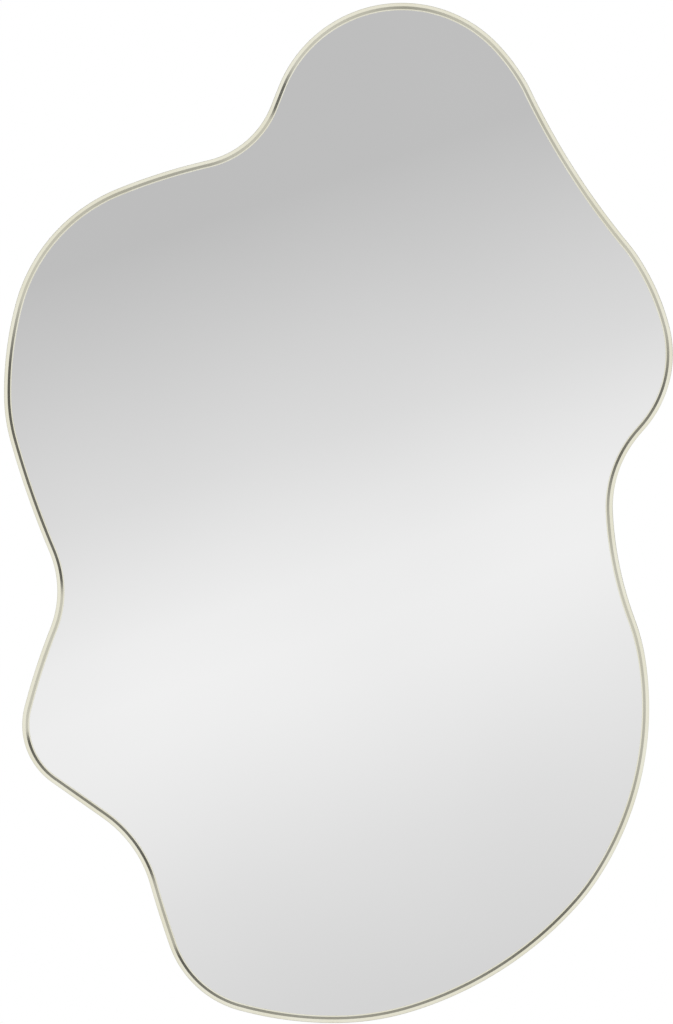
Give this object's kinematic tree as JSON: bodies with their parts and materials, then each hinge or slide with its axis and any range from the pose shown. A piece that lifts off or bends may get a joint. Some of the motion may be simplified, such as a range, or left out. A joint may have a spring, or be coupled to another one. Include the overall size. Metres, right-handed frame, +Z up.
{
  "type": "irregular shaped wall mirror",
  "caption": "Wavy free-form wall mirror in a slim metal rim, with a board back, swinging wire hanging rings and wall pads.",
  "frame": {"origin": "on the wall plane, midway between the two points where wall hooks carry the raised hanger rings", "axes": "+X to the right seen from the front, +Z up; the mirror faces -Y and the wall is at y = 0"},
  "size_m": [0.59, 0.026, 0.9],
  "materials": {
    "champagne_plated_steel": "satin champagne gold plating",
    "float_glass": "polished clear float glass",
    "silver_mirror_coat": "silvered, painted behind",
    "safety_film": "woven-backed film",
    "foam_tape": "white closed-cell foam",
    "fibreboard": "plain fibreboard",
    "zinc_plated_steel": "bright zinc plating",
    "black_rubber": "matt moulded rubber"
  },
  "bodies": {
    "mirror": {"backing_board": "fibreboard", "frame_rim": "champagne_plated_steel", "frame_tab_1": "champagne_plated_steel", "frame_tab_2": "champagne_plated_steel", "frame_tab_3": "champagne_plated_steel", "frame_tab_4": "champagne_plated_steel", "frame_tab_5": "champagne_plated_steel", "frame_tab_6": "champagne_plated_steel", "frame_tab_7": "champagne_plated_steel", "frame_tab_8": "champagne_plated_steel", "frame_tab_9": "champagne_plated_steel", "hanger_screws_left": "zinc_plated_steel", "hanger_screws_right": "zinc_plated_steel", "hanger_strap_left": "zinc_plated_steel", "hanger_strap_right": "zinc_plated_steel", "mirror_glass": "float_glass", "safety_film": "safety_film", "silver_coat": "silver_mirror_coat", "tab_screws": "zinc_plated_steel", "tape_strip_1": "foam_tape", "tape_strip_2": "foam_tape", "tape_strip_3": "foam_tape", "tape_strip_4": "foam_tape", "tape_strip_5": "foam_tape", "wall_bumper_1": "black_rubber", "wall_bumper_2": "black_rubber", "wall_bumper_3": "black_rubber", "wall_bumper_4": "black_rubber"},
    "left_ring": {"hanger_ring_left": "zinc_plated_steel"},
    "right_ring": {"hanger_ring_right": "zinc_plated_steel"}
  },
  "joints": [
    {"name": "left_ring_swing", "type": "hinge", "parent": "mirror", "child": "left_ring", "pos_m": [-0.15, -0.00657, -0.0165], "axis": [-1, 0, 0], "range_deg": [-2, 175]},
    {"name": "right_ring_swing", "type": "hinge", "parent": "mirror", "child": "right_ring", "pos_m": [0.15, -0.00657, -0.0165], "axis": [-1, 0, 0], "range_deg": [-2, 175]}
  ]
}
